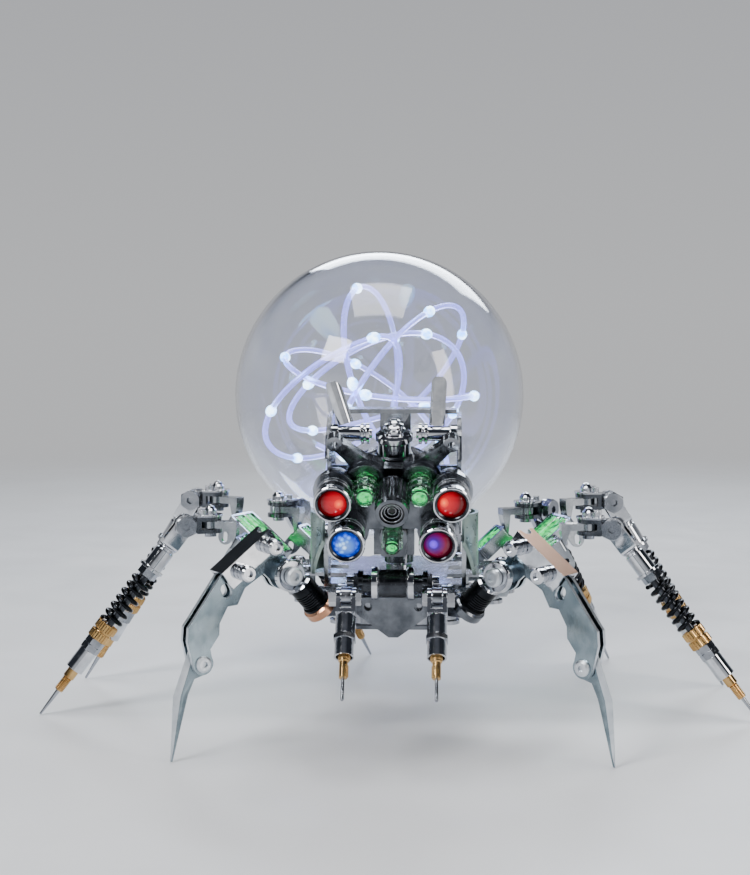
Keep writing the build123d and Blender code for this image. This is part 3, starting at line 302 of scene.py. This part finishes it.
def knurl(shape, place, radius, depth, low, high):
    """A fluted ring about the z axis of place, from low to high, chamfered at both ends."""
    teeth, chamfer = 26, 0.25
    steps = teeth * 4
    heights = ((low, depth), (low + chamfer, 0), (high - chamfer, 0), (high, depth))
    rows = []
    for z, less in heights:
        row = []
        for i in range(steps):
            a = 2 * pi * i / steps
            r = radius - less - depth * (0.5 - 0.5 * cos(a * teeth))
            row.append(shape.verts.new(place @ Vector((r * cos(a), r * sin(a), z))))
        rows.append(row)
    for below, above in zip(rows, rows[1:]):
        for i in range(steps):
            j = (i + 1) % steps
            shape.faces.new((below[i], below[j], above[j], above[i]))
    shape.faces.new(rows[0])
    shape.faces.new(rows[-1])


# ---- painting the CAD nodes ---------------------------------------------------------------------
def paint(name, plain, *rules, into=None):
    """Gives a CAD node its materials: a face takes the first rule that holds at its centre."""
    data = nodes[name].data
    data.materials.clear()
    for material in (plain, *(material for material, rule in rules)):
        data.materials.append(material)
    back = (into or basis(DESIGN_ORIGIN, (0, 0, 1), (1, 0, 0))).inverted()
    for face in data.polygons:
        point = back @ face.center
        face.material_index = next(
            (i for i, (material, rule) in enumerate(rules, 1) if rule(point)), 0)


def joint_at(name):
    """Where a joint's axis is, in m."""
    return Vector(joints[name]["pos_m"])


def far_vertex(name, origin):
    """The vertex of a node furthest from origin."""
    return max((v.co for v in nodes[name].data.vertices), key=lambda co: (co - origin).length)


LEGS = [f"leg{n}_{side}" for n in (2, 3, 4) for side in ("right", "left")]
shin_frames, slope_frames, slope_lengths = {}, {}, {}
for leg in LEGS:
    knee = joint_at(f"{leg}_knee_bend")
    up = knee - far_vertex(f"{leg}_foot", knee)
    shin_frames[leg] = basis(knee, up, Vector(joints[f"{leg}_knee_bend"]["axis"]).cross(up))
    hip, swivel = joint_at(f"{leg}_hip_swing"), joint_at(f"{leg}_knee_swivel")
    slope_frames[leg] = basis(hip, swivel - hip, (0, 0, 1))
    slope_lengths[leg] = (swivel - hip).length / MM


def paint_spring_leg(leg):
    """Cage, vials, knee block, shin and foot of one spring leg."""
    paint(f"{leg}_femur_cage", SHEET)
    end = slope_lengths[leg] - 12.0
    pitch = 0 if leg.startswith("leg4") else 2.95

    def from_vial(p):
        return hypot(p.x, abs(p.y) - pitch)

    paint(f"{leg}_femur_vials", GREEN,
          (VIAL, lambda p: from_vial(p) > 2.25),
          (CHROME, lambda p: p.z < 12.4 or p.z > end - 2.4), into=slope_frames[leg])
    swivel = basis(joint_at(f"{leg}_knee_swivel"), (0, 0, 1), (1, 0, 0))
    paint(f"{leg}_knee_block", GUN, (CHROME, lambda p: p.z > 2.95),
          (STEEL, lambda p: p.z < -2.95), into=swivel)
    paint(f"{leg}_shin", CHROME,
          (STEEL, lambda p: p.z > -9 and abs(p.y) > 4.0),
          (DARK, lambda p: -63.1 < p.z < -19.5 and hypot(p.x, p.y) < 1.75),
          (BLACK, lambda p: -43.2 < p.z < -22.4 and hypot(p.x, p.y) > 1.9),
          (BRASS, lambda p: -49.9 < p.z < -43.2),
          (STEEL, lambda p: -54.7 < p.z < -49.9),
          (STEEL, lambda p: -22.3 < p.z < -19.7), into=shin_frames[leg])
    paint(f"{leg}_foot", BRASS, (STEEL, lambda p: p.z < -72.05), into=shin_frames[leg])


for leg in LEGS:
    paint_spring_leg(leg)

# the blade legs, in mm: pairs are r outwards from the hip pin and z, the height in the design
BLADE_N = -6.9                                  # the blade's middle plane, behind the thigh's
CHANNEL_TOP = ((25.7, 71.0), (42.9, 58.4))      # the line of the channel's web
FOLD = (48.8, 30.0)                             # the blade's pivot
THIGH_FOOT = (9.0, 44.9)                        # where the thigh's axis starts
THIGH_OUT = 11.0                                # how far outwards it runs from there to the knee
THIGH_LIFT = 0.7                                # how far its start is above the hip joint's point
BLADE_EDGE = [(47.5, 41.0), (50.6, 40.2), (58.2, 20.5), (59.4, 0.0), (58.7, 0.0), (53.3, 20.5),
              (51.0, 25.2), (46.0, 26.6), (45.2, 33.0)]
BLADE_FLAT = [(48.0, 39.6), (49.2, 39.4), (56.0, 20.4), (58.9, 3.0), (58.5, 3.0), (54.4, 20.6),
              (51.6, 25.9), (46.8, 27.4), (46.1, 33.0)]
# half the thickness: at each point of the blade's edge, and over its flat
EDGE_HALF = [0.75, 0.12, 0.12, 0.15, 0.15, 0.5, 0.5, 0.75, 0.75]
BLADE_HALF = 0.75


def blade_place(side, r, z, n, up=(0, 1)):
    """A frame in a blade leg's upright plane, n across it, with its z axis along up (r, z)."""
    hip, knee = joint_at(f"leg1_{side}_hip_swing"), joint_at(f"leg1_{side}_knee_bend")
    out = Vector((knee.x - hip.x, knee.y - hip.y, 0)).normalized()
    across = Vector((out.y, -out.x, 0)) if side == "right" else Vector((-out.y, out.x, 0))
    foot = Vector((hip.x, hip.y, DESIGN_ORIGIN.z))
    where = foot + (out * r + Vector((0, 0, z)) + across * n) * MM
    return basis(where, out * up[0] + Vector((0, 0, up[1])), across)


def ground_blade(side):
    """The knife of a blade leg, with its outer edge ground thin; it takes the CAD blade's place."""
    shape = bmesh.new()
    flat = blade_place(side, 0, 0, BLADE_N)
    turn = 1 if side == "right" else -1

    def corner(r, z, n):
        return shape.verts.new(flat @ Vector((n, turn * r, z)))

    rims = [[corner(r, z, sign * half) for (r, z), half in zip(BLADE_EDGE, EDGE_HALF)]
            for sign in (1, -1)]
    flats = [[corner(r, z, sign * BLADE_HALF) for r, z in BLADE_FLAT] for sign in (1, -1)]
    count = len(BLADE_EDGE)
    for rim, inner in zip(rims, flats):
        shape.faces.new(inner).material_index = 0
        for i in range(count):
            j = (i + 1) % count
            face = shape.faces.new((rim[i], rim[j], inner[j], inner[i]))
            face.material_index = 1 if i in (1, 2) else 0
    for i in range(count):
        j = (i + 1) % count
        shape.faces.new((rims[0][i], rims[0][j], rims[1][j], rims[1][i])).material_index = 1
    blade = piece(f"leg1_{side}_knife", shape, [TEAL, EDGE], f"leg1_{side}_tip")
    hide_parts(f"leg1_{side}_blade")


for side in ("right", "left"):
    hip, knee = joint_at(f"leg1_{side}_hip_swing"), joint_at(f"leg1_{side}_knee_bend")
    rise = (knee.z - hip.z) / MM - THIGH_LIFT
    reach = hypot(THIGH_OUT, rise)
    thigh = blade_place(side, *THIGH_FOOT, 0, up=(THIGH_OUT, rise))
    paint(f"leg1_{side}_thigh", STEEL,
          (COPPER if side == "left" else GUN,
           lambda p: -1.6 < p.z < 1.6 and 3.4 < hypot(p.x, p.y) < 5.6),
          (BLACK, lambda p: 1.6 < p.z < reach - 4.6 and hypot(p.x, p.y) < 4.8),
          (CHROME, lambda p: p.z > reach - 5.3), into=thigh)
    (r0, z0), (r1, z1) = CHANNEL_TOP
    web = blade_place(side, r0, z0, BLADE_N, up=(z0 - z1, r1 - r0))
    # the web's top face: a painted warm reflection on the right channel, a painted dark reflection
    # on the left
    paint(f"leg1_{side}_channel", CHROME,
          (PAINTED_WARM_REFLECTION if side == "right" else PAINTED_DARK_REFLECTION, lambda p: abs(p.z) < 0.02), into=web)
    pivot = blade_place(side, *FOLD, BLADE_N)
    sheets = sorted({round((pivot.inverted() @ face.center).x, 2)
                     for face in nodes[f"leg1_{side}_plates"].data.polygons
                     if face.area > 40 * MM * MM})
    paint(f"leg1_{side}_plates", EDGE,
          (TEAL, lambda p: any(abs(p.x - sheet) < 0.04 for sheet in sheets)), into=pivot)

    bolt = joint_at(f"{side}_palp_swing")
    palp = basis(bolt, bolt - far_vertex(f"{side}_palp_tip", bolt), (1, 0, 0))
    paint(f"{side}_palp", CHROME, (STEEL, lambda p: -15.1 < p.z < -13.3),
          (DARK, lambda p: p.z < -17.9 and hypot(p.x, p.y) < 2.6), into=palp)
    paint(f"{side}_palp_tip", BRASS, (STEEL, lambda p: p.z < -27.5), into=palp)
    shape = bmesh.new()
    threads(shape, palp, 1.6, 1.88, -21.6, 0.5, 6)
    threads(shape, palp, 1.25, 1.46, -27.0, 0.55, 7)
    piece(f"{side}_palp_thread", shape, BRASS, f"{side}_pedipalp")
    ground_blade(side)

for leg in LEGS:
    shape = bmesh.new()
    knurl(shape, shin_frames[leg], 4.0, 0.28, -46.4, -43.4)
    knurl(shape, shin_frames[leg], 4.0, 0.28, -50.0, -47.0)
    piece(f"{leg}_knurled_nuts", shape, BRASS, f"{leg}_lower")
    shape = bmesh.new()
    threads(shape, shin_frames[leg], 1.45, 1.68, -71.6, 0.55, 9)
    piece(f"{leg}_foot_thread", shape, BRASS, f"{leg}_lower")

paint("body_plates", STEEL, (GUN, lambda p: p.y < -61.9))
paint("chassis_posts", STEEL)
paint("cheek_panels", SHEET, (FROST, lambda p: p.z > 55.9 and p.x * p.x > 21 ** 2 and p.y < -48.5),
      (FROST, lambda p: p.z > 55.9 and abs(p.x) > 23.4 and p.z < 76.1 and p.y < -46.3))
paint("mouth_rollers", DARK, (CHROME, lambda p: 4.3 < abs(p.x) < 6.7 or abs(p.x) > 12.3))
paint("head_frame", STEEL, (GUN, lambda p: abs(p.x) < 19.8 and p.z < 97))
paint("crown", CHROME, (GUN, lambda p: abs(p.x) < 6.8 and p.z < 95.5))
paint("horns", CHROME)
paint("abdomen_arm", GUN)


# ---- head: barrels, lenses and tubes, each in the frame of its own axis -------------------------
EYE_TILT, TUBE_TILT = 17.0, 26.0      # degrees below the level
RED_EYES = [(18.4, -77, 80.6), (-18.4, -77, 80.6)]
BLUE_EYE, VIOLET_EYE = (-14.2, -77, 68), (14.2, -77, 68)
SNOUT = (0, -78, 78)
TUBES = [(8.5, -75, 82.4, 3.7), (-8.5, -75, 82.4, 3.7), (0, -77, 67, 3.0)]      # x, y, z, radius


def facing(front, down):
    """The frame at the front of a barrel that points forwards and down by an angle in degrees."""
    angle = radians(down)
    return basis(at(*front), (0, -cos(angle), -sin(angle)), (1, 0, 0))


def bands(*rows):
    """Paint rules for barrels that share a node: (frame, test in its own coordinates, material)."""
    whole = basis(DESIGN_ORIGIN, (0, 0, 1), (1, 0, 0))
    return [(material, lambda p, back=place.inverted() @ whole, test=test: test(back @ p))
            for place, test, material in rows]


eyes = [facing(front, EYE_TILT) for front in RED_EYES + [BLUE_EYE, VIOLET_EYE]]
cups = [(eye, lambda p: p.z > -3.3 and hypot(p.x, p.y) < 5.2, DARK) for eye in eyes]
rims = [(eye, lambda p: p.z > -2.7 and hypot(p.x, p.y) < 7, CHROME) for eye in eyes]
paint("eye_barrels", DARK, *bands(*cups, *rims))
paint("snout_barrel", GUN)
shape = bmesh.new()
knurl(shape, facing(SNOUT, TUBE_TILT), 5.4, 0.42, -13.4, -2.2)
piece("snout_knurl", shape, GUN, "head")
shape = bmesh.new()
for eye in eyes:
    for low in (-8.6, -6.9):
        lathe(shape, [(5.3, low), (5.62, low + 0.2), (5.62, low + 0.5), (5.3, low + 0.7)], eye, 64)
piece("barrel_bands", shape, STEEL, "head")
shape = bmesh.new()
for eye in eyes:
    lathe(shape, [(4.45, -0.7), (5.30, 0.12), (5.22, 0.30), (4.80, 0.10), (4.40, -0.35)], eye, 64)
piece("eye_cups", shape, DARK, "head")
shape = bmesh.new()
for r, z in ((3.2, -0.4), (2.3, -1.2), (1.3, -1.62)):
    lathe(shape, [(r - 0.14, z - 0.2), (r + 0.12, z - 0.2), (r + 0.12, z + 0.06), (r, z + 0.12),
                  (r - 0.14, z + 0.06)], facing(SNOUT, TUBE_TILT), 48)
piece("snout_rings", shape, STEEL, "head")
shape = bmesh.new()
for x, y, z, r in TUBES:
    place = facing((x, y, z), TUBE_TILT)
    for low in (-3.2, -6.4, -9.0):
        lathe(shape, [(r - 0.05, low), (r + 0.32, low + 0.25), (r + 0.32, low + 0.75),
                      (r - 0.05, low + 1.0)], place, 48)
piece("tube_rings", shape, VIAL, "head")
paint("snout_lens", LENS_BLACK)
rows = []
for x, y, z, r in TUBES:
    place = facing((x, y, z), TUBE_TILT)
    rows.append((place, lambda p, r=r: p.z < -6.2 and r - 1.4 < hypot(p.x, p.y) < r + 0.2, VIAL))
    rows.append((place, lambda p, r=r: r - 1.35 < hypot(p.x, p.y) < r + 0.2, VIAL))
paint("light_tubes", GREEN, *bands(*rows))
RED = ((0.0, (1.0, 0.50, 0.10)), (0.15, (1.0, 0.07, 0.02)), (0.32, (0.42, 0.004, 0.01)),
       (0.75, (0.24, 0.0, 0.006)), (1.0, (0.07, 0.0, 0.001)))
BLUE = ((0.0, (0.70, 0.92, 1.0)), (0.42, (0.20, 0.50, 1.0)), (0.70, (0.02, 0.10, 0.75)),
        (1.0, (0.002, 0.01, 0.16)))
VIOLET = ((0.0, (0.55, 0.35, 1.0)), (0.16, (0.13, 0.02, 0.85)), (0.34, (0.03, 0.002, 0.14)),
          (0.72, (0.11, 0.001, 0.02)), (1.0, (0.03, 0.0, 0.004)))
hot = [Vector((-2.2, 0, 1.0)), Vector((1.9, 0, 0.4))]      # the glow's middle in each red lens
red = [lens(f"red_lens_{i}", at(*front) + hot[i] * MM, RED, 1.0)
       for i, front in enumerate(RED_EYES)]
paint("red_eye_lenses", red[0], (red[1], lambda p: p.x < 0))
paint("blue_eye_lens", lens("blue_lens", at(*BLUE_EYE), BLUE, 1.6, facets=1.5))
paint("violet_eye_lens", lens("violet_lens", at(13.0, -77, 68.8), VIOLET, 1.3))


# ---- the light string in the globe --------------------------------------------------------------
GLOBE_AT = at(-10.2, 72, 105.8)
WAIST_AT = at(0, -4, 57.6)
GLOBE = basis(GLOBE_AT, WAIST_AT - GLOBE_AT, (1, 0, 0))
LOOPS, STEPS = 5, 12
OUTER_LOOP, LOOP_STEP = 51.5, 3.4
STRAND_R = 1.1


def string_route():
    """The route's points: in through the neck, then loop after loop round the inside."""
    points = [(0.0, 0.0, 60.0), (-2.0, 3.0, 44.0)]
    for i in range(LOOPS * STEPS):
        turn = i / STEPS
        radius = OUTER_LOOP - LOOP_STEP * turn
        swing = radians(360 * turn + 60)
        lean, yaw = radians(28 + 31 * turn), radians(20 + 47 * turn)
        x, y = radius * cos(swing), radius * sin(swing)
        y, z = y * cos(lean), y * sin(lean)
        points.append((x * cos(yaw) - y * sin(yaw), x * sin(yaw) + y * cos(yaw), z))
    return [GLOBE @ Vector(point) for point in points]


line = bpy.data.curves.new("light_string_line", "CURVE")
line.dimensions = "3D"
spline = line.splines.new("NURBS")
route = string_route()
spline.points.add(len(route) - 1)
for point, place in zip(spline.points, route):
    point.co = (*place, 1)
spline.order_u = 3
spline.use_endpoint_u = True
line.resolution_u = 8
bare = bpy.data.objects.new("bare_line", line)
track = [v.co.copy() for v in bpy.data.meshes.new_from_object(bare).vertices]
string_length = sum((b - a).length for a, b in zip(track, track[1:]))
bpy.data.objects.remove(bare)
line.bevel_depth = STRAND_R * MM
line.bevel_resolution = 4
line.materials.append(STRAND)
string = bpy.data.objects.new("string_of_lights", line)
bpy.context.scene.collection.objects.link(string)
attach(string, "abdomen")
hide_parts("light_string")


def along(share):
    """The point of the strand's line at that share of its length."""
    left = share * string_length
    for a, b in zip(track, track[1:]):
        step = (b - a).length
        if left <= step:
            return a.lerp(b, left / step)
        left -= step
    return track[-1]


shape = bmesh.new()
BEADS, BEAD_R, BEAD_HALF = 24, 2.1, 2.6
FIRST_BEAD, BEAD_SPAN, NEAR = 0.05, 0.94, 0.004      # shares of the strand's length
for i in range(BEADS):
    share = FIRST_BEAD + BEAD_SPAN * i / (BEADS - 1)
    here, after = along(share), along(min(1.0, share + NEAR))
    before = along(share - NEAR)
    profile = [(BEAD_R * sin(a), -BEAD_HALF * cos(a))
               for a in (0.35, 0.7, 1.1, 1.57, 2.0, 2.4, 2.8)]
    profile = [(0, -BEAD_HALF)] + profile + [(0, BEAD_HALF)]
    lathe(shape, profile, basis(here, after - before, (0.3, 0.5, 0.8)), 16)
beads = piece("string_lamps", shape, BEAD, "abdomen")
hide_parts("light_beads")

GLOBE_R, GLOBE_WALL, NECK_R, NECK_END = 57.5, 1.5, 15.0, 61.0
OUTER_MOUTH, INNER_MOUTH = 15.3, 14.1      # degrees off the neck's axis where the ball's walls end
BOWL_STEPS = 64
shape = bmesh.new()
outer_stop, inner_stop = radians(180 - OUTER_MOUTH), radians(180 - INNER_MOUTH)
inside = GLOBE_R - GLOBE_WALL


def bowl(radius, stop, steps):
    """Points of a ball's outline from its far pole up to an angle."""
    return [(radius * sin(stop * i / BOWL_STEPS), -radius * cos(stop * i / BOWL_STEPS))
            for i in steps]


profile = bowl(GLOBE_R, outer_stop, range(BOWL_STEPS + 1))
profile += [(NECK_R, GLOBE_R * cos(radians(OUTER_MOUTH)) + 0.6), (NECK_R, NECK_END),
            (NECK_R - GLOBE_WALL, NECK_END)]
profile += bowl(inside, inner_stop, range(BOWL_STEPS, -1, -1))
profile[0], profile[-1] = (0, -GLOBE_R), (0, -inside)
lathe(shape, profile, GLOBE, 128)
shell = piece("glass_globe", shape, CLEAR, "abdomen")
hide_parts("globe")


# ---- floor and light ----------------------------------------------------------------------------
FLOOR_PLAIN, FLOOR_GONE = 0.25, 1.1      # the floor melts into the backdrop between these, in m
FLOOR_DROP = 0.0002                      # how far the floor is under the lowest point, in m


def floor_material():
    """A pale matt floor that fades out with the distance."""
    material, tree, surface = shader("pale_floor")
    tone = ramp(tree, noise(tree, 90.0), (0.3, (0.66, 0.67, 0.69)), (0.7, (0.72, 0.73, 0.75)))
    tree.links.new(tone, surface.inputs["Base Color"])
    tree.links.new(spread(tree, noise(tree, 30.0), 0.35, 0.5), surface.inputs["Roughness"])
    fade = tree.nodes.new("ShaderNodeMapRange")
    fade.interpolation_type = "SMOOTHSTEP"
    fade.inputs["From Min"].default_value = FLOOR_PLAIN
    fade.inputs["From Max"].default_value = FLOOR_GONE
    place = tree.nodes.new("ShaderNodeTexCoord")
    reach = tree.nodes.new("ShaderNodeVectorMath")
    reach.operation = "LENGTH"
    tree.links.new(place.outputs["Object"], reach.inputs[0])
    tree.links.new(reach.outputs["Value"], fade.inputs["Value"])
    mix = tree.nodes.new("ShaderNodeMixShader")
    tree.links.new(fade.outputs["Result"], mix.inputs["Fac"])
    tree.links.new(surface.outputs["BSDF"], mix.inputs[1])
    tree.links.new(tree.nodes.new("ShaderNodeBsdfTransparent").outputs["BSDF"], mix.inputs[2])
    tree.links.new(mix.outputs["Shader"], tree.nodes["Material Output"].inputs["Surface"])
    return material


floor_mesh = bpy.data.meshes.new("floor")
shape = bmesh.new()
bmesh.ops.create_circle(shape, cap_ends=True, segments=96, radius=FLOOR_GONE)
shape.to_mesh(floor_mesh)
shape.free()
floor_mesh.materials.append(floor_material())
floor = bpy.data.objects.new("floor", floor_mesh)
bpy.context.scene.collection.objects.link(floor)
floor.location.z = cad_low.z - FLOOR_DROP
floor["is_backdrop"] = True

world = bpy.data.worlds.new("studio")
bpy.context.scene.world = world
world.use_nodes = True
sky = world.node_tree
facing_up = sky.nodes.new("ShaderNodeSeparateXYZ")
sky.links.new(sky.nodes.new("ShaderNodeTexCoord").outputs["Generated"], facing_up.inputs["Vector"])
sky_tone = ramp(sky, facing_up.outputs["Z"], (0.0, (0.72, 0.73, 0.75)), (0.22, (0.60, 0.61, 0.64)),
                (0.36, (0.030, 0.035, 0.045)), (0.8, (0.025, 0.03, 0.04)),
                (1.0, (0.18, 0.19, 0.22)))
sky.links.new(sky_tone, sky.nodes["Background"].inputs["Color"])
sky.nodes["Background"].inputs["Strength"].default_value = 0.8


def softbox(name, place, aim, width, height, watts, colour=(1, 1, 1)):
    """A soft area light at place, turned to aim."""
    lamp_data = bpy.data.lights.new(name, "AREA")
    lamp_data.shape = "RECTANGLE"
    lamp_data.size, lamp_data.size_y = width, height
    lamp_data.energy = watts
    lamp_data.color = colour
    light = bpy.data.objects.new(name, lamp_data)
    bpy.context.scene.collection.objects.link(light)
    light.location = place
    light.rotation_euler = (Vector(aim) - Vector(place)).to_track_quat("-Z", "Y").to_euler()


softbox("key", (-0.55, -0.65, 0.75), (0, 0, 0.06), 0.35, 0.35, 10)
softbox("fill", (0.80, -0.50, 0.40), (0, 0, 0.06), 0.20, 0.6, 4, (1.0, 0.94, 0.88))
softbox("rim", (0.1, 0.8, 0.6), (0, 0, 0.08), 0.8, 0.3, 8, (0.85, 0.92, 1.0))
softbox("top", (0, -0.05, 0.95), (0, 0, 0.05), 0.5, 0.5, 6)

low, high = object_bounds()
